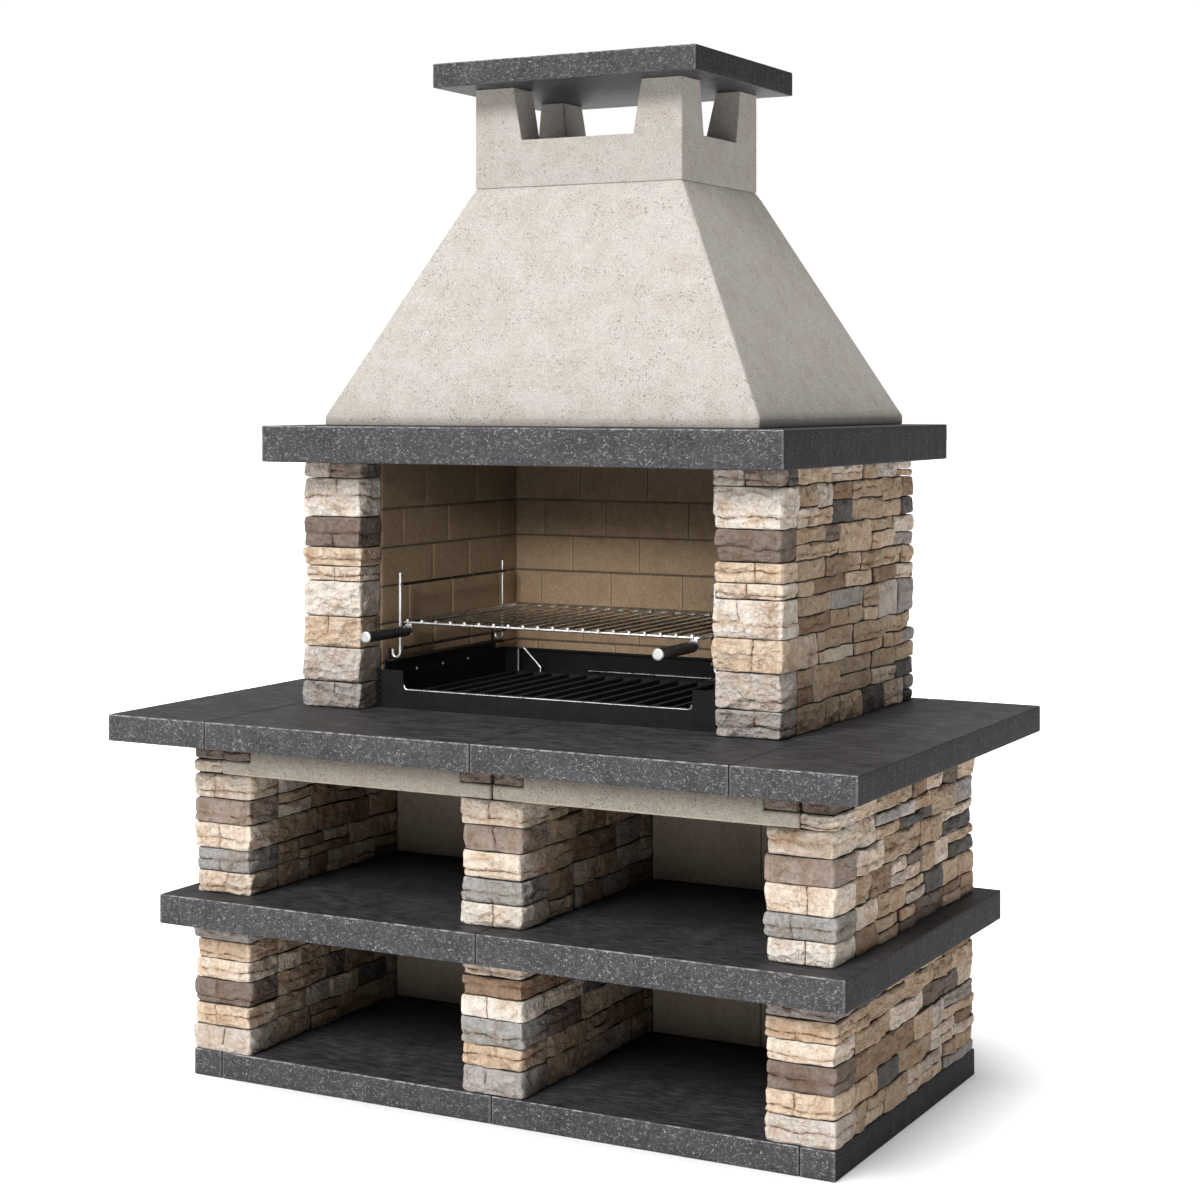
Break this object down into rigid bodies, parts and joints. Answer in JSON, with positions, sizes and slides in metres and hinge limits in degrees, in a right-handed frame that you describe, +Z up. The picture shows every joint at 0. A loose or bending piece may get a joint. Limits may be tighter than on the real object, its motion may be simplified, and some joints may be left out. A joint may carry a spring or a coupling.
{
  "type": "stone garden barbecue",
  "caption": "Free-standing garden barbecue of coursed stone with storage niches, a worktop, a brick-lined firebox with charcoal tray and wire grill, and a smoke hood.",
  "frame": {"origin": "on the ground, under the middle of the part's bounding box", "axes": "+Z up, +X to the right seen from the front, -Y towards the person cooking"},
  "size_m": [1.58, 1.055, 2.027],
  "materials": {
    "dark_slab": "honed charcoal stone with pale flecks",
    "split_stone": "rock-faced, in mixed creams, tans and greys",
    "pale_cast_stone": "smooth pale cast stone with fine specks",
    "concrete_block": "plain pale block",
    "fire_brick": "matt fire brick",
    "black_steel": "satin black",
    "cast_iron": "as cast",
    "chrome_wire": "bright",
    "steel_hardware": "plain",
    "black_grip": "matt"
  },
  "bodies": {
    "masonry": {"plinth_left_end": "dark_slab", "plinth_left_slab": "dark_slab", "plinth_right_slab": "dark_slab", "plinth_right_end": "dark_slab", "shelf_left_slab": "dark_slab", "shelf_right_slab": "dark_slab", "worktop_left_end": "dark_slab", "worktop_left_slab": "dark_slab", "worktop_right_slab": "dark_slab", "worktop_right_end": "dark_slab", "mantel": "dark_slab", "chimney_cap": "dark_slab", "lower_left_pier": "split_stone", "lower_left_wall": "split_stone", "lower_centre_pier": "split_stone", "lower_centre_wall": "split_stone", "lower_right_pier": "split_stone", "lower_right_wall": "split_stone", "upper_left_pier": "split_stone", "upper_left_wall": "split_stone", "upper_centre_pier": "split_stone", "upper_centre_wall": "split_stone", "upper_right_pier": "split_stone", "upper_right_wall": "split_stone", "firebox_left_pier": "split_stone", "firebox_left_wall": "split_stone", "firebox_right_pier": "split_stone", "firebox_right_wall": "split_stone", "left_lintel": "pale_cast_stone", "right_lintel": "pale_cast_stone", "hood": "pale_cast_stone", "chimney_collar": "pale_cast_stone", "lower_back_blocks": "concrete_block", "upper_back_blocks": "concrete_block", "firebox_back_panel": "concrete_block", "left_fire_bricks": "fire_brick", "right_fire_bricks": "fire_brick", "back_fire_bricks": "fire_brick"},
    "tray": {"charcoal_tray": "black_steel", "left_rack_rail": "black_steel", "right_rack_rail": "black_steel", "left_gap_guard": "black_steel", "right_gap_guard": "black_steel", "rail_bolts": "steel_hardware", "left_rack": "chrome_wire", "right_rack": "chrome_wire"},
    "grate": {"charcoal_grate": "cast_iron", "grate_bail": "steel_hardware"},
    "grill": {"cooking_grill": "chrome_wire", "handle_nuts": "steel_hardware", "left_handle_grip": "black_grip", "right_handle_grip": "black_grip", "left_handle_cap": "chrome_wire", "right_handle_cap": "chrome_wire"}
  },
  "joints": [
    {"name": "tray_slide", "type": "slide", "parent": "masonry", "child": "tray", "axis": [0, -1, 0], "range_m": [0, 0.34]},
    {"name": "grill_slide", "type": "slide", "parent": "tray", "child": "grill", "axis": [0, -1, 0], "range_m": [0, 0.42]},
    {"name": "grate_lift", "type": "slide", "parent": "tray", "child": "grate", "axis": [0, 0, 1], "range_m": [0, 0.07]}
  ]
}
